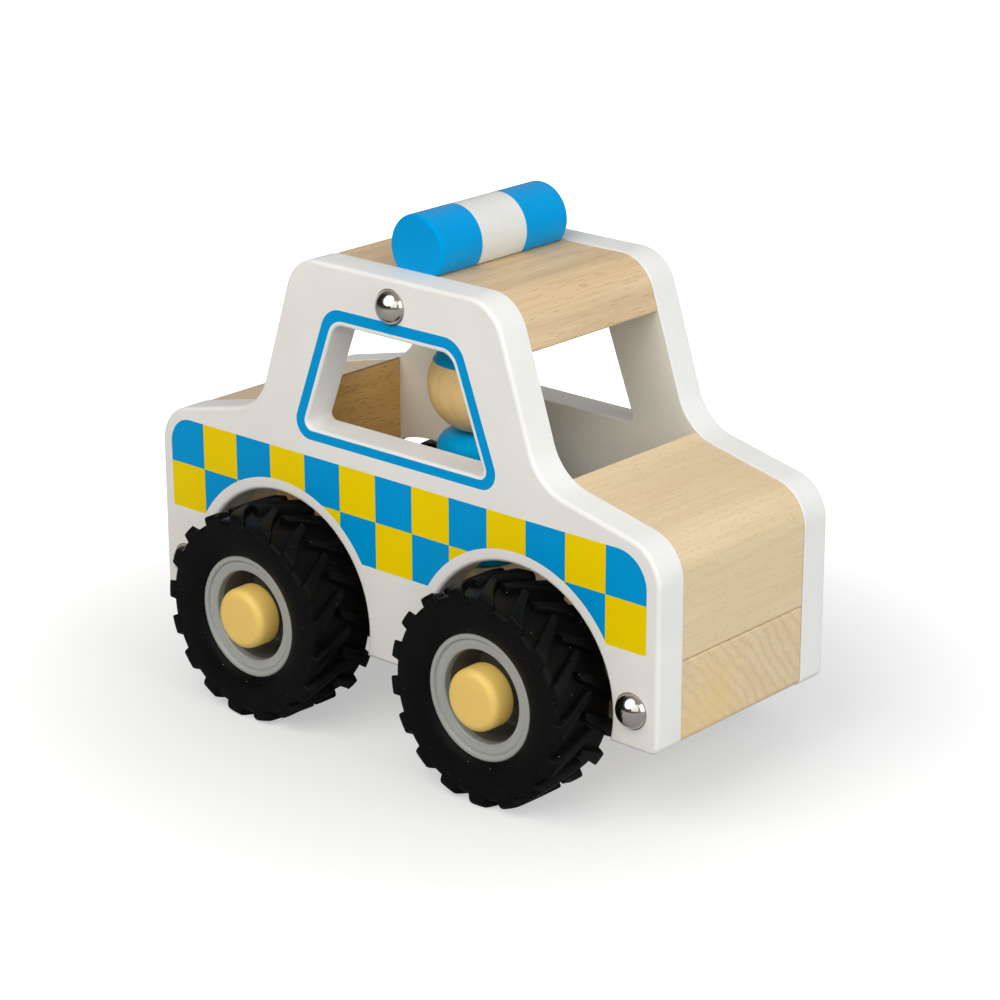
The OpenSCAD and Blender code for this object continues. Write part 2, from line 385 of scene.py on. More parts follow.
def paint(name, rgb, rough=0.42, vary=0.035, grain=0.10, along=(1, 1, 1), seed=0.0, gloss=0.4, tint=(1, 1, 1)):
    """Sprayed or printed paint on wood: faint mottling, slight unevenness, a hint of the grain below."""
    n = Nodes(name)
    big = n.noise(n.mapped((1, 1, 1), (seed, 0.3 * seed, 0.7 * seed)), 55, 3, 0.6)
    fine = n.noise(n.mapped(along), 1500, 4, 0.6)
    tone = n.math("ADD", n.math("MULTIPLY", big, 0.7), n.math("MULTIPLY", fine, 0.3))
    n.colour(n.ramp(tone, [(0.30, lerp3(rgb, 1 - vary)), (0.70, lerp3(rgb, 1 + vary))]))
    n.rough(n.remap(fine, 0.3, 0.7, rough - 0.05, rough + 0.07))
    n.set(Specular_IOR_Level=gloss, Specular_Tint=(*tint, 1))
    peel = n.noise(n.mapped((1, 1, 1)), 900, 2, 0.5)
    n.bump(n.math("ADD", n.math("MULTIPLY", fine, 0.5), n.math("MULTIPLY", peel, 0.5)), grain, 0.00025)
    return n.mat


def wood(
    name,
    grain,
    light,
    dark,
    ring_centre,
    ring_period,
    ring_depth=0.35,
    fleck=0.55,
    fleck_size=(5.2, 0.95),
    streak=0.5,
    wave=0.0009,
    rough=0.55,
    tint=None,
    seed=0.0,
    dash_rgb=None,
    share=0.40,
):
    """Solid wood with its fibres along axis `grain` (0 X, 1 Y, 2 Z): soft bands, growth rings about a far
    axis parallel to the fibres, fine fibre lines, and beech's short dark dashes."""
    n = Nodes(name)

    def stretched(across, length, off=0.0):
        s = [1 / (across * MM)] * 3
        s[grain] = 1 / (length * MM)
        return n.mapped(tuple(s), (off + seed, 2.7 * off + seed, 1.3 * off - seed))

    drift = n.noise(stretched(9, 30, 3.0), 1.0, 2, 0.5)
    mask = [1.0, 1.0, 1.0]
    mask[grain] = 0.0
    centre = [0.0, 0.0, 0.0]
    axes = [a for a in range(3) if a != grain]
    centre[axes[0]], centre[axes[1]] = ring_centre[0] * MM, ring_centre[1] * MM
    away = n.vec("SUBTRACT", n.co, tuple(centre)).outputs[0]
    radius = n.vec("LENGTH", n.vec("MULTIPLY", away, tuple(mask)).outputs[0], (0, 0, 0)).outputs["Value"]
    radius = n.math("ADD", radius, n.remap(drift, 0.25, 0.75, -wave, wave))
    phase = n.math("MULTIPLY", radius, 2 * math.pi / (ring_period * MM))
    ring = n.remap(n.math("SINE", phase), -1, 1, 0, 1)
    ring = n.math("POWER", ring, 2.2)
    bands = n.noise(stretched(5.5, 70), 1.0, 4, 0.55, 0.4)
    lines = n.noise(stretched(0.55, 26, 5.0), 1.0, 3, 0.6)
    hair = n.noise(stretched(0.16, 7, 9.0), 1.0, 2, 0.6)

    tone = n.math("ADD", n.math("MULTIPLY", bands, 0.62), n.math("MULTIPLY", lines, 0.38 * streak + 0.10))
    col = n.ramp(tone, [(0.26, dark), (0.50, tuple((a + b) / 2 for a, b in zip(dark, light))), (0.72, light)])
    col = n.mix(n.math("MULTIPLY", ring, ring_depth), col, lerp3(dark, 0.86))
    col = n.mix(n.remap(lines, 0.30, 0.52, 0.30 * streak, 0.0), col, lerp3(dark, 0.74))
    col = n.mix(n.remap(hair, 0.25, 0.75, 0.10, 0.0), col, lerp3(dark, 0.70))
    if tint:
        patch = n.noise(n.mapped((1, 1, 1), (seed, 1.0, 2.0)), 38, 2, 0.5)
        col = n.mix(n.remap(patch, 0.42, 0.70, 0.0, 0.55), col, tint)

    # short dashes: stretched cells, of which only some hold a dash
    wob = n.noise(stretched(3.0, 9.0, 1.0), 1.0, 2, 0.5)
    base = stretched(fleck_size[1], fleck_size[0], 7.0)
    shift = [n.math("MULTIPLY", wob, 0.9)] * 3
    comb = n.add("CombineXYZ", {0: shift[0], 1: 0.0, 2: shift[2]}).outputs[0]
    cells = n.add(
        "TexVoronoi",
        {"Vector": n.vec("ADD", base, comb).outputs[0], "Scale": 1.0, "Randomness": 1.0},
        voronoi_dimensions="3D",
        feature="F1",
    )
    dash = n.remap(cells.outputs["Distance"], 0.16, 0.34, 1.0, 0.0, True)
    pick = n.add("SeparateColor", {0: cells.outputs["Color"]})
    some = n.remap(pick.outputs[0], share, share + 0.35, 0.0, 1.0)
    dash = n.math("MULTIPLY", dash, some)
    col = n.mix(n.math("MULTIPLY", dash, fleck), col, dash_rgb or lerp3(dark, 0.56))
    n.colour(col)
    n.rough(n.remap(lines, 0.3, 0.7, rough + 0.08, rough - 0.05))
    height = n.math("ADD", n.math("MULTIPLY", lines, 0.5), n.math("MULTIPLY", hair, 0.35))
    height = n.math("SUBTRACT", height, n.math("MULTIPLY", dash, 0.6))
    n.bump(height, 0.22, 0.00022)
    return n.mat


def rubber(name):
    n = Nodes(name)
    cloud = n.noise(n.co, 130, 4, 0.6)
    fine = n.noise(n.co, 2600, 3, 0.65)
    col = n.ramp(cloud, [(0.3, (0.0022, 0.0022, 0.0023)), (0.7, (0.0042, 0.0041, 0.0040))])
    dust = n.add("TexVoronoi", {"Vector": n.co, "Scale": 950.0, "Randomness": 1.0}, feature="F1")
    pick = n.add("SeparateColor", {0: dust.outputs["Color"]})
    speck = n.math(
        "MULTIPLY",
        n.remap(dust.outputs["Distance"], 0.05, 0.16, 1.0, 0.0, True),
        n.remap(pick.outputs[1], 0.88, 0.94, 0.0, 1.0),
    )
    col = n.mix(n.math("MULTIPLY", speck, 0.62), col, (0.32, 0.31, 0.29))
    n.colour(col)
    n.rough(n.remap(n.math("ADD", n.math("MULTIPLY", cloud, 0.6), n.math("MULTIPLY", fine, 0.4)), 0.3, 0.7, 0.36, 0.54))
    n.set(Specular_IOR_Level=0.07)
    n.bump(fine, 0.20, 0.00012)
    return n.mat


def plastic(name, rgb, rough, vary=0.03, sub=0.0, scatter=(1, 1, 1)):
    n = Nodes(name)
    cloud = n.noise(n.co, 90, 3, 0.5)
    fine = n.noise(n.co, 1800, 2, 0.5)
    n.colour(n.ramp(cloud, [(0.3, lerp3(rgb, 1 - vary)), (0.7, lerp3(rgb, 1 + vary))]))
    n.rough(n.remap(fine, 0.3, 0.7, rough - 0.05, rough + 0.06))
    if sub:
        n.set(Subsurface_Weight=sub, Subsurface_Scale=0.0025, Subsurface_Radius=scatter)
    n.bump(fine, 0.10, 0.00010)
    return n.mat


def metal(name, rgb, rough, brushed=(1, 1, 1), strength=0.08):
    n = Nodes(name)
    cloud = n.noise(n.co, 160, 3, 0.6)
    line = n.noise(n.mapped(brushed), 2400, 3, 0.6)
    n.colour(n.ramp(cloud, [(0.3, lerp3(rgb, 0.95)), (0.7, lerp3(rgb, 1.04))]))
    n.rough(n.remap(line, 0.3, 0.7, rough * 0.75, rough * 1.35))
    n.set(Metallic=1.0)
    n.bump(line, strength, 0.00005)
    return n.mat


WHITE = paint("white_face", (0.800, 0.785, 0.752), 0.44)
WHITE_EDGE = paint("white_edge", (0.795, 0.785, 0.760), 0.50, 0.045, 0.28, (1, 1, 0.12), 3.0)
# painted light: a brighter, warmer white for the panels' inner faces, standing in for light bouncing around inside the
# cabin
WHITE_PAINTED_BOUNCE = paint("white_back_painted_bounce", (0.850, 0.815, 0.725), 0.55, 0.045, 0.18, (0.15, 1, 1), 5.0)
BLUE = paint("print_blue", (0.0, 0.290, 0.645), 0.42, 0.03, 0.08, seed=1.0, gloss=0.18, tint=(0, 0.5, 1))
YELLOW = paint("print_yellow", (0.850, 0.615, 0.0), 0.42, 0.03, 0.08, seed=2.0, gloss=0.18, tint=(1, 0.7, 0))
BAR_BLUE = paint("bar_blue", (0.0, 0.290, 0.650), 0.36, 0.04, 0.16, (1, 0.1, 1), 6.0, gloss=0.28, tint=(0, 0.5, 1))
BAR_WHITE = paint("bar_white", (0.690, 0.685, 0.660), 0.45, 0.05, 0.26, (1, 0.1, 1), 7.0)
PEG_BLUE = paint("peg_blue", (0.0, 0.310, 0.640), 0.36, 0.05, 0.16, (1, 1, 0.1), 8.0, gloss=0.3, tint=(0, 0.5, 1))
BEECH = wood(
    "beech_boot", 1, (0.785, 0.628, 0.412), (0.690, 0.520, 0.312), (-30, -140), 6.5, 0.14, 0.42, (2.6, 0.42), 0.55, dash_rgb=(0.50, 0.29, 0.13), share=0.18
)
BEECH_FRONT = wood(
    "beech_bonnet", 1, (0.800, 0.650, 0.450), (0.690, 0.520, 0.330), (20, -120), 5.5, 0.20, 0.45, (2.8, 0.45), 0.55, seed=4.0, dash_rgb=(0.48, 0.28, 0.13), share=0.18
)
# painted light and shade: an orange, darker beech for the bonnet's rear face, standing in for warm light bounced
# between the cabin's wooden faces and for the shade there
BEECH_PAINTED_BOUNCE_AND_SHADE = wood(
    "beech_bonnet_back_painted_bounce_and_shade", 1, (0.900, 0.560, 0.190), (0.780, 0.430, 0.120), (20, -120), 5.5, 0.25, 0.42, (4.2, 0.55), 0.7, seed=14.0, dash_rgb=(0.20, 0.075, 0.015), share=0.12
)
BEECH_ROOF = wood(
    "beech_roof", 1, (0.730, 0.552, 0.342), (0.605, 0.420, 0.232), (46, 8), 5.0, 0.26, 0.55, (5.5, 0.50), 0.9, 0.0016, seed=9.0, dash_rgb=(0.44, 0.23, 0.09), share=0.25
)
CHASSIS = wood(
    "beech_chassis",
    0,
    (0.810, 0.640, 0.430),
    (0.690, 0.515, 0.315),
    (70, -30),
    2.6,
    0.50,
    0.30,
    (4.5, 0.8),
    0.5,
    0.0012,
    tint=(0.78, 0.55, 0.22),
    seed=2.0,
)
TURNED = wood("turned_head", 2, (0.930, 0.670, 0.310), (0.830, 0.545, 0.210), (30, 0), 3.2, 0.16, 0.25, (4.0, 0.7), 0.5, rough=0.45)
DOWEL = wood("dowel_birch", 2, (0.760, 0.590, 0.370), (0.660, 0.470, 0.260), (20, 5), 2.2, 0.2, 0.2, (3.0, 0.5), 0.5)
RUBBER = rubber("tyre_black")
GREY = plastic("hub_grey", (0.350, 0.362, 0.345), 0.36)
# painted shade: a darker grey for the hub's recess, standing in for the shade deep inside it
GREY_PAINTED_SHADE = plastic("hub_grey_painted_shade", (0.170, 0.158, 0.125), 0.45)
CREAM = plastic("cap_cream", (0.840, 0.575, 0.150), 0.42, 0.025, 0.18, (1.0, 0.6, 0.25))
CHROME = metal("dome_nickel", (0.560, 0.520, 0.470), 0.15, strength=0.03)
STEEL = metal("rod_steel", (0.560, 0.555, 0.545), 0.28, (1, 0.05, 1), 0.15)


# ---------------------------------------------------------------- side panels
def print_shape():
    """Points and edges of the printed areas' boundaries, and the colour (0 white, 1 blue, 2 yellow) at a point."""
    pts, edges = [], []

    def path(p, closed=False):
        k = len(pts)
        pts.extend(p)
        edges.extend((k + i, k + i + 1) for i in range(len(p) - 1))
        if closed:
            edges.append((k + len(p) - 1, k))

    ring_out, ring_in = rounded(RING_OUT, 14), rounded(RING_IN, 14)
    path(ring_out, True)
    path(ring_in, True)
    z0, z1, z2 = CHECK_Z
    xf, xr = CHECK_X0, CHECK_X0 - CHECK_S * CHECK_COLS
    band = (
        [(xf, z0)]
        + fillet((xf, z0), (xf, z2), (xr, z2), CHECK_R[0], 14)
        + fillet((xf, z2), (xr, z2), (xr, z0), CHECK_R[1], 14)
        + [(xr, z0)]
    )

    def free(p):
        return all(math.hypot(p[0] - s * AXLE_X, p[1] - AXLE_Z) > MARGIN_R for s in (-1, 1))

    def cut_path(p):
        """Draws an open path where it lies outside the arches' margins."""
        run = []
        for a, b in zip(p, p[1:]):
            n = max(1, int(math.hypot(b[0] - a[0], b[1] - a[1]) / 0.02))
            run_pts = [(a[0] + (b[0] - a[0]) * i / n, a[1] + (b[1] - a[1]) * i / n) for i in range(n + 1)]
            start = None
            for i, q in enumerate(run_pts):
                if free(q):
                    if start is None:
                        start = q
                    last = q
                elif start is not None:
                    run.append((start, last))
                    start = None
            if start is not None:
                run.append((start, last))
        return run

    segments = cut_path(band + [band[0]])
    segments += cut_path([(xf, z1), (xr, z1)])
    for i in range(1, CHECK_COLS):
        x = xf - CHECK_S * i
        segments += cut_path([(x, z0), (x, z2)])
    for a, b in segments:
        if math.hypot(a[0] - b[0], a[1] - b[1]) > 0.03:
            path([a, b])
    for s in (-1, 1):
        a0 = math.asin((z0 - AXLE_Z) / MARGIN_R)
        arc_pts = []
        for i in range(81):
            t = math.pi - a0 - (math.pi - 2 * a0) * i / 80
            arc_pts.append((s * AXLE_X + MARGIN_R * math.cos(t), AXLE_Z + MARGIN_R * math.sin(t)))
        path(arc_pts)

    def colour(p):
        if inside(p, ring_out) and not inside(p, ring_in):
            return 1
        if inside(p, band) and free(p):
            col = int((xf - p[0]) / CHECK_S)
            return 1 if (col + (0 if p[1] > z1 else 1)) % 2 == 0 else 2
        return 0

    return pts, edges, colour


def flat_face(loops, y, extra=None):
    """Triangles of a flat region between its outer loop and its holes, with printed areas as separate faces."""
    pts, edges = [], []
    for loop in loops:
        k, n = len(pts), len(loop)
        pts += loop
        edges += [(k + i, k + (i + 1) % n) for i in range(n)]
    colour = None
    if extra:
        more, more_edges, colour = extra
        k = len(pts)
        pts += more
        edges += [(a + k, b + k) for a, b in more_edges]
    made = delaunay_2d_cdt([Vector(p) for p in pts], edges, [], 0, 2e-4)
    verts, faces, index = [(v.x, y, v.y) for v in made[0]], [], []
    for f in made[2]:
        c = [sum(made[0][i][a] for i in f) / len(f) for a in (0, 1)]
        if inside(c, loops[0]) and not any(inside(c, h) for h in loops[1:]):
            faces.append(tuple(f))
            index.append(colour(c) if colour else 0)
    return verts, faces, index


def side_panel(name, node, turned):
    levels, win = [], []
    for i in range(4):
        t = math.pi / 2 * i / 3
        levels.append((BACK_R * (1 - math.sin(t)), INNER_Y + BACK_R * (1 - math.cos(t))))
        win.append(levels[-1])
    for r, out in ((EDGE_R, levels), (WINDOW_EDGE_R, win)):
        for i in range(11):
            t = math.pi / 2 * i / 10
            out.append((r * (1 - math.cos(t)), OUTER_Y - r * (1 - math.sin(t))))
    verts, faces, index = [], [], []

    def put(v, f, idx):
        k = len(verts)
        verts.extend(v)
        faces.extend(tuple(i + k for i in g) for g in f)
        index.extend(idx)

    for loop, out in ((panel_loop, levels), (window_loop, win)):
        v, f = strips([[(x, y, z) for x, z in loop(d)] for d, y in out])
        put(v, f, [3] * len(f))
    outer = flat_face([panel_loop(EDGE_R), window_loop(WINDOW_EDGE_R)], OUTER_Y, print_shape())
    put(*outer)
    # painted light: the inner faces take the brighter, warmer white that stands in for light inside the cabin
    inner = flat_face([panel_loop(BACK_R), window_loop(BACK_R)], INNER_Y)
    put(inner[0], inner[1], [4] * len(inner[1]))
    if turned:
        verts = [(-x, -y, z) for x, y, z in verts]
    return piece(name, verts, faces, [WHITE, BLUE, YELLOW, WHITE_EDGE, WHITE_PAINTED_BOUNCE], "car_body", [node], index, 32, 4e-4)


side_panel("left_panel_look", "left_side_panel", False)
side_panel("right_panel_look", "right_side_panel", True)


# ---------------------------------------------------------------- wooden blocks
BLOCK_D, SLIT = 0.25, 0.12
car_loop = rounded(inset(CAR, BLOCK_D), 28)


def block(name, node, mat, x0, x1, z0, z1, r, ease=0.15):
    loop = car_loop
    for axis, limit, above in ((0, x0, True), (0, x1, False), (1, z0, True), (1, z1, False)):
        loop = clip(loop, axis, limit, above)
    loop = soften(loop, r)
    v, f, _ = extrude_y(loop, SLIT - INNER_Y, INNER_Y - SLIT, ease, arc=3)
    return piece(name, v, f, [mat], "car_body", [node], angle=40)


GAP = 0.06
block("chassis_look", "chassis_block", CHASSIS, -HALF_L, HALF_L, BELLY - 1, CHASSIS_Z - GAP, 0.55)
bonnet = block("bonnet_look", "bonnet_block", BEECH_FRONT, 45.8, HALF_L, CHASSIS_Z + GAP, ROOF, 0.5)
# painted light and shade: the bonnet's rear-facing faces take the orange stain that stands in for bounced light and
# shade inside the cabin
bonnet.data.materials.append(BEECH_PAINTED_BOUNCE_AND_SHADE)
for g in bonnet.data.polygons:
    if g.normal.x < -0.8:
        g.material_index = 1
block("boot_look", "boot_block", BEECH, -HALF_L, -44.9, CHASSIS_Z + GAP, ROOF, 0.5)
block("roof_look", "roof_block", BEECH_ROOF, -HALF_L, HALF_L, CEILING, ROOF, 0.7)


# ---------------------------------------------------------------- light bar
BAR_EASE, CUTS = 0.9, [-6.2, 8.45]


def bar_loop(d):
    """Section of the bar: a circle of radius BAR_R - d cut flat where it stands on the roof."""
    r = BAR_R - d
    a = math.degrees(math.asin((ROOF - BAR_Z) / r))
    return soften(arc(BAR_X, BAR_Z, r, a, 180 - a, 72), 0.4, 4, 30)


ends = [(BAR_EASE * (1 - math.sin(t)), BAR_EASE * (1 - math.cos(t))) for t in [math.pi / 16 * i for i in range(9)]]
rows = [(d, BAR_Y - BAR_L / 2 + h) for d, h in ends]
rows += [(0.0, y) for y in CUTS]
rows += [(d, BAR_Y + BAR_L / 2 - h) for d, h in reversed(ends)]
v, f = strips([[(x, y, z) for x, z in bar_loop(d)] for d, y in rows])
idx = [1 if CUTS[0] < sum(v[i][1] for i in g) / 4 < CUTS[1] else 0 for g in f] + [0, 0]
n_loop = len(bar_loop(0))
f += [tuple(range(n_loop)), tuple(range(len(v) - n_loop, len(v)))]
piece("light_bar_look", v, f, [BAR_BLUE, BAR_WHITE], "car_body", ["light_bar"], idx, 40)


# ---------------------------------------------------------------- dome caps
ball = (4.1**2 + 3.0**2) / 6.0
edge = math.degrees(math.asin((3.0 - ball) / ball))
dome = [(0.0, 0.0)][:0] + [(3.55, 0.0), (4.0, 0.02), (4.12, 0.14), (4.13, 0.26)]
for i in range(1, 15):
    t = math.radians(edge + 6 + (90 - edge - 6) * i / 15)
    dome.append((ball * math.cos(t), 3.0 - ball + ball * math.sin(t)))
dome.append((0.05, 3.0))
verts, faces = [], []
for s in (1, -1):
    for x, z in RODS:
        a, b = lathe(dome, 48, lambda r, h, t: (x + r * math.cos(t), s * (OUTER_Y + h), z + r * math.sin(t)))
        k = len(verts)
        verts += a
        faces += [tuple(i + k for i in g) for g in b]
piece("dome_caps_look", verts, faces, [CHROME], "car_body", ["dome_caps"], angle=50)


# ---------------------------------------------------------------- wheels
LUGS = 17
PITCH = 360.0 / LUGS
TYRE_MID, TYRE_OUT = 33.6, 43.0
LUG_LEAN = 1.256  # degrees of turn for each mm towards the shoulder
LUG_NOSE = 1.1  # how far a lug runs past the middle
# the outer half of the section, from the bead to the middle: radius and distance from the middle of the
# carcass, and of the lug where there is one
SECTION = [
    ((14.45, 7.35), None),
    ((14.60, 7.66), None),
    ((15.00, 8.04), None),
    ((15.70, 8.48), None),
    ((16.60, 8.86), None),
    ((17.50, 9.12), None),
    ((18.50, 9.30), None),
    ((19.50, 9.38), None),
    ((20.40, 9.40), None),
    ((21.20, 9.38), None),
    ((21.80, 9.34), None),
    ((22.15, 9.27), (22.45, 9.40)),
    ((22.45, 9.15), (23.10, 9.40)),
    ((22.70, 8.97), (23.80, 9.36)),
    ((22.90, 8.72), (24.32, 9.22)),
    ((23.04, 8.40), (24.62, 8.98)),
    ((23.12, 8.00), (24.75, 8.60)),
    ((23.15, 7.50), (24.80, 8.00)),
    ((23.15, 7.00), (24.80, 7.20)),
    ((23.15, 6.20), (24.80, 6.20)),
    ((23.15, 5.20), (24.80, 5.20)),
    ((23.15, 4.20), (24.80, 4.20)),
    ((23.15, 3.20), (24.80, 3.20)),
    ((23.15, 2.40), (24.80, 2.40)),
    ((23.15, 1.80), (24.80, 1.80)),
    ((23.15, 1.24), (24.80, 1.24)),
    ((23.15, 1.10), (24.80, 1.10)),
    ((23.15, 0.92), (24.80, 0.92)),
    ((23.15, 0.65), (24.80, 0.65)),
    ((23.15, 0.30), (24.80, 0.30)),
]


def smooth01(x):
    x = max(0.0, min(1.0, x))
    return x * x * (3 - 2 * x)


def knots(left, width):
    """Angles and height shares across one lug: steep flanks, eased edges, a flat top."""
    right = left + width
    return [
        (left - 0.42, 0.0),
        (left + 0.08, 0.80),
        (left + 0.42, 0.96),
        (left + 0.95, 1.0),
        ((left + right) / 2, 1.0),
        (right - 0.95, 1.0),
        (right - 0.42, 0.96),
        (right - 0.08, 0.80),
        (right + 0.42, 0.0),
    ]


def lug_columns(s):
    """One pitch of a row at s mm from the middle, on the side of its own lugs: own lug, then the other side's."""
    left, width = LUG_LEAN * s, 5.6 + 5.4 * (s / 9.6) ** 2
    own = knots(left, width)
    over = LUG_NOSE - s
    tip = 5.6 * math.sqrt(max(0.0, 1 - max(0.0, 1 - (over + 0.30) / 1.0) ** 2)) if over > -0.01 else 3.4
    mid = PITCH / 2 - LUG_LEAN * s + 2.8
    gap = (left + width + left + PITCH) / 2
    k = smooth01((s - LUG_NOSE - 0.1) / 2.4)
    other = knots(mid + (gap - mid) * k - tip / 2, max(tip, 2.4))
    if over < -0.01:
        other = [(a, 0.0) for a, _ in other]
    between = (own[-1][0] + other[0][0]) / 2
    after = (other[-1][0] + own[0][0] + PITCH) / 2
    return own, [(between, 0.0)], other, [(after, 0.0)]


def tyre_points():
    grid = []
    rows = [(b, t or b, 1) for b, t in SECTION] + [((23.15, 0.0), (24.80, 0.0), 1)]
    rows += [(b, t or b, -1) for b, t in reversed(SECTION)]
    for (rb, sb), (rt, st), side in rows:
        own, between, other, after = lug_columns(st)
        if side > 0:
            cols = own + between + other + after
        else:
            half = PITCH / 2
            near = [(a + half - PITCH, m) for a, m in other]
            cols = near + [(a + half - PITCH, m) for a, m in after] + [(a + half, m) for a, m in own]
            cols += [(a + half, m) for a, m in between]
        if side < 0 and rb < 18:
            sb = st = 9.4 - (9.4 - sb) * 0.3
        line = []
        for i in range(LUGS):
            for a, m in cols:
                r, y = rb + (rt - rb) * m, TYRE_MID + side * (sb + (st - sb) * m)
                t = math.radians(i * PITCH + a)
                line.append((r * math.cos(t), y, r * math.sin(t)))
        grid.append(line)
    angles = [math.atan2(z, x) for x, _, z in grid[0]]
    for r, y in ((13.2, 24.95), (13.05, 25.1), (13.05, 39.7), (13.2, 39.9), (14.3, 40.05), (14.42, 40.3)):
        grid.append([(r * math.cos(t), y, r * math.sin(t)) for t in angles])
    grid.append(grid[0])
    return strips(grid)


HUB = (
    [(14.55, 40.1), (14.60, 40.4)]
    + arc(14.00, 40.60, 0.60, 0, 90, 6)
    + arc(13.66, 40.72, 0.48, 90, 165, 4)
    + [(13.14, 40.68), (13.06, 40.58), (12.96, 40.60), (12.84, 40.70), (12.58, 40.76), (12.0, 40.68), (11.4, 40.52)]
    + arc(11.25, 39.95, 0.55, 75, 180, 6)
    + [(10.66, 38.6), (10.58, 34.6), (10.50, 30.4)]
    + arc(9.70, 30.00, 0.80, 0, -90, 5)
    + [(8.6, 29.2), (5.5, 29.2), (5.1, 29.45), (5.0, 30.0), (4.96, 36.9), (4.7, 37.2), (2.06, 37.2), (2.06, 22.55)]
    + [(4.7, 22.55), (5.0, 22.8), (5.0, 25.8), (5.4, 26.2), (10.2, 26.2), (10.5, 25.9), (10.7, 24.6), (10.95, 24.1), (14.25, 24.05), (14.55, 24.3), (14.55, 24.85), (13.1, 24.95), (13.1, 39.9), (14.35, 40.0)]
)
CAP = (
    [(2.02, 37.5), (6.3, 37.5)]
    + arc(6.45, 38.25, 0.75, -80, 0, 5)
    + [(7.20, 39.4), (7.17, 41.9)]
    + arc(5.32, 42.16, 1.80, 4, 82, 9)
    + [(4.8, 43.98), (3.4, 44.0), (1.8, 44.0), (0.05, 44.0)]
)
tyre_v, tyre_f = tyre_points()
for end, x, in (("front", AXLE_X), ("rear", -AXLE_X)):
    for side, s in (("left", 1), ("right", -1)):
        body = f"{end}_{side}_wheel"
        phase = {"front_left": 7.6, "rear_left": 18.3, "front_right": 12.0, "rear_right": 3.0}[f"{end}_{side}"]
        c, d = math.cos(math.radians(phase)), math.sin(math.radians(phase))
        v = [(x + p * c - q * d, s * y, AXLE_Z + p * d + q * c) for p, y, q in tyre_v]
        piece(f"{end}_{side}_tyre_look", v, tyre_f, [RUBBER], body, [f"{end}_{side}_tyre"], angle=55, merge=None, weighted=False)

        def at(r, h, t, x=x, s=s):
            return (x + r * math.cos(t), s * h, AXLE_Z + r * math.sin(t))

        v, f = lathe(HUB, 96, at, loop=True)
        # painted shade: faces deep in the recess take the darker grey as shade inside the recess
        recess_painted_shade = []
        for q in f:
            far = max(math.hypot(v[k][0] - x, v[k][2] - AXLE_Z) for k in q)
            depth = [abs(v[k][1]) for k in q]
            recess_painted_shade.append(1 if far < 10.7 and min(depth) > 29.0 and max(depth) < 38.7 else 0)
        piece(f"{end}_{side}_hub_look", v, f, [GREY, GREY_PAINTED_SHADE], body, [f"{end}_{side}_hub"], recess_painted_shade, angle=42)
        v, f = lathe(CAP, 72, at)
        piece(f"{end}_{side}_cap_look", v, f, [CREAM], "car_body", [f"{end}_{side}_axle_cap"], angle=42)


# ---------------------------------------------------------------- driver
def about_driver(r, h, t):
    return (DRIVER_X + r * math.cos(t), r * math.sin(t), h)


torso = (
    [(0.05, CHASSIS_Z), (10.0, CHASSIS_Z), (10.6, CHASSIS_Z + 0.2), (10.9, CHASSIS_Z + 0.7), (TORSO_R, CHASSIS_Z + 1.4), (10.3, 50.6)]
    + arc(SHOULDER_R - 4.0, NECK_Z - 4.0, 4.0, 0, 87, 16)
    + [(4.6, NECK_Z - 0.01), (2.5, NECK_Z)]
)
v, f = lathe(torso, 96, about_driver)
piece("driver_body_look", v, f, [PEG_BLUE], "car_body", ["driver_body"], angle=42)

CAP_Z = 84.15
head, cap_from = [(0.05, NECK_Z), (2.6, NECK_Z)], 0
a_low = math.degrees(math.asin((NECK_Z - HEAD_Z) / HEAD_R))
a_cap = math.degrees(math.asin((CAP_Z - HEAD_Z) / HEAD_R))
head += arc(0, HEAD_Z, HEAD_R, a_low + 2, a_cap, 34)
cap_from = len(head) - 1
head += arc(0, HEAD_Z, HEAD_R + 0.10, a_cap + 0.5, 89.5, 22)
v, f = lathe(head, 96, about_driver)
idx = [1 if g[0] // 96 >= cap_from else 0 for g in f[:-2]] + [0, 1]
piece("driver_head_look", v, f, [TURNED, PEG_BLUE], "car_body", ["driver_head"], idx, 60, weighted=False)


# ---------------------------------------------------------------- CAD pieces that stay
def dress(mat, *nodes):
    for n in nodes:
        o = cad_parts[n]
        o.data.materials.clear()
        o.data.materials.append(mat)


dress(STEEL, "roof_tie_rod", "front_tie_rod", "rear_tie_rod", "front_axle", "rear_axle", "wheel_washers", "driver_screw")
dress(DOWEL, "light_bar_dowels", "driver_neck_dowel")


# ---------------------------------------------------------------- stage
def floor_material():
    """Pale studio floor. What the lens sees of it glows with painted light, lifted towards white: faint next to the car
    and rising further away.
    """
    n = Nodes("studio_floor")
    cloud = n.noise(n.co, 3.0, 2, 0.5)
    n.colour(n.ramp(cloud, [(0.3, (0.45, 0.45, 0.45)), (0.7, (0.46, 0.46, 0.46))]))
    n.set(Roughness=0.9, Specular_IOR_Level=0.1, Emission_Color=(1, 1, 1, 1))
    away = n.vec("LENGTH", n.co, (0, 0, 0)).outputs["Value"]
    seen = n.add("LightPath").outputs["Is Camera Ray"]
    painted_glow = n.remap(away, 0.045, 0.30, FLOOR_PAINTED_GLOW[0], FLOOR_PAINTED_GLOW[1], True)
    n.link(n.math("MULTIPLY", painted_glow, seen), n.bsdf.inputs["Emission Strength"])
    return n.mat


# painted light: strength of the camera-only glow next to the car and far from it
FLOOR_PAINTED_GLOW = (0.45, 1.35)
me = bpy.data.meshes.new("floor")
me.from_pydata([(-6, -6, 0), (6, -6, 0), (6, 6, 0), (-6, 6, 0)], [], [(0, 1, 2, 3)])
me.materials.append(floor_material())
floor = bpy.data.objects.new("floor", me)
bpy.context.scene.collection.objects.link(floor)

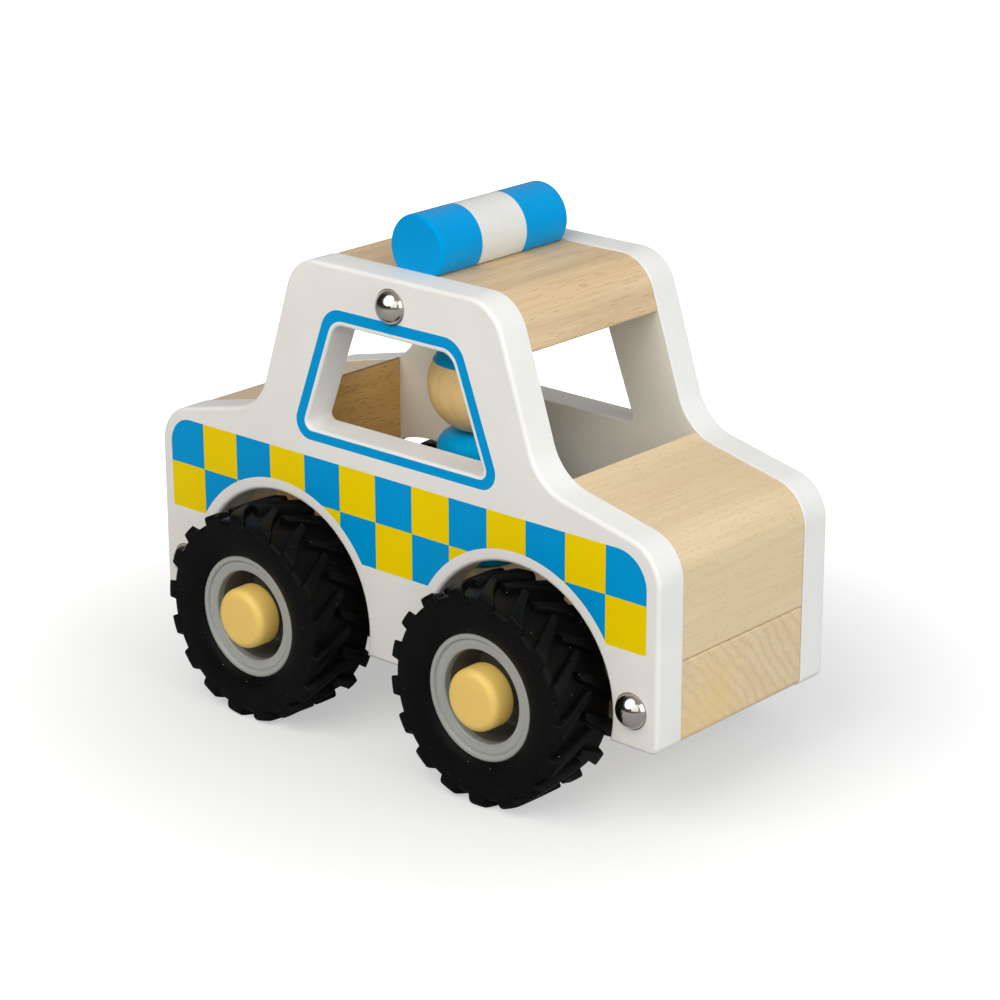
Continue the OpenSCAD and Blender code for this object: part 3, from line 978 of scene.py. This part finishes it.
cam = bpy.data.objects.new("camera", bpy.data.cameras.new("camera"))
bpy.context.scene.collection.objects.link(cam)
cam.data.sensor_fit = "HORIZONTAL"
cam.data.sensor_width = 36.0
cam.data.lens = 36.0 * 3.014865
cam.data.clip_start, cam.data.clip_end = 0.01, 50
right = (-0.74720026, -0.66459285, -0.00284792)
up = (0.22016816, -0.25157323, 0.9424632)
back = (-0.62707077, 0.70358173, 0.33429777)
eye = (-0.436123, 0.483288, 0.2815465)
cam.matrix_world = Matrix(
    [(right[i], up[i], back[i], eye[i]) for i in range(3)] + [(0, 0, 0, 1)]
)
bpy.context.scene.camera = cam


def lamp(name, azimuth, elevation, distance, size, power, tint=(1, 1, 1), target=(0, 0, 0.05)):
    """A soft box: azimuth is counted from +X towards +Y."""
    a, e = math.radians(azimuth), math.radians(elevation)
    d = Vector((math.cos(a) * math.cos(e), math.sin(a) * math.cos(e), math.sin(e)))
    data = bpy.data.lights.new(name, "AREA")
    data.shape = "RECTANGLE"
    data.size, data.size_y = size
    data.energy = power
    data.color = tint
    ob = bpy.data.objects.new(name, data)
    bpy.context.scene.collection.objects.link(ob)
    ob.location = Vector(target) + d * distance
    ob.rotation_euler = d.to_track_quat("Z", "Y").to_euler()
    return ob


lamp("key", 88, 43, 0.70, (0.75, 0.75), 3.75, (1.02, 1.0, 0.955)).data.shape = "DISK"
lamp("side", 184, 22, 1.2, (1.0, 0.8), 7.2, (0.96, 1.0, 1.0))
lamp("fill", 128, 26, 1.2, (0.8, 0.8), 3.0, (1.0, 1.0, 0.97))

world = bpy.data.worlds.new("studio")
bpy.context.scene.world = world
world.use_nodes = True
wt = world.node_tree
wt.nodes.clear()
w_out = wt.nodes.new("ShaderNodeOutputWorld")
w_bg = wt.nodes.new("ShaderNodeBackground")
w_cam = wt.nodes.new("ShaderNodeBackground")
w_mix = wt.nodes.new("ShaderNodeMixShader")
w_path = wt.nodes.new("ShaderNodeLightPath")
w_co = wt.nodes.new("ShaderNodeTexCoord")
w_dot = wt.nodes.new("ShaderNodeVectorMath")
w_dot.operation = "DOT_PRODUCT"
w_dot.inputs[1].default_value = (-0.42, -0.91, 0.15)
w_ramp = wt.nodes.new("ShaderNodeValToRGB")
e = w_ramp.color_ramp.elements
e[0].position, e[0].color = 0.30, (0.06, 0.055, 0.05, 1)
e[1].position, e[1].color = 0.58, (0.95, 0.97, 1.0, 1)
w_map = wt.nodes.new("ShaderNodeMapRange")
w_map.inputs[1].default_value, w_map.inputs[2].default_value = -1, 1
wt.links.new(w_co.outputs["Generated"], w_dot.inputs[0])
wt.links.new(w_dot.outputs["Value"], w_map.inputs[0])
wt.links.new(w_map.outputs[0], w_ramp.inputs[0])
wt.links.new(w_ramp.outputs[0], w_bg.inputs[0])
w_bg.inputs[1].default_value = 0.44
w_cam.inputs[0].default_value = (1, 1, 1, 1)
w_cam.inputs[1].default_value = 1.0
wt.links.new(w_path.outputs["Is Camera Ray"], w_mix.inputs[0])
wt.links.new(w_bg.outputs[0], w_mix.inputs[1])
wt.links.new(w_cam.outputs[0], w_mix.inputs[2])
wt.links.new(w_mix.outputs[0], w_out.inputs[0])
bpy.context.scene.view_settings.view_transform = "Standard"
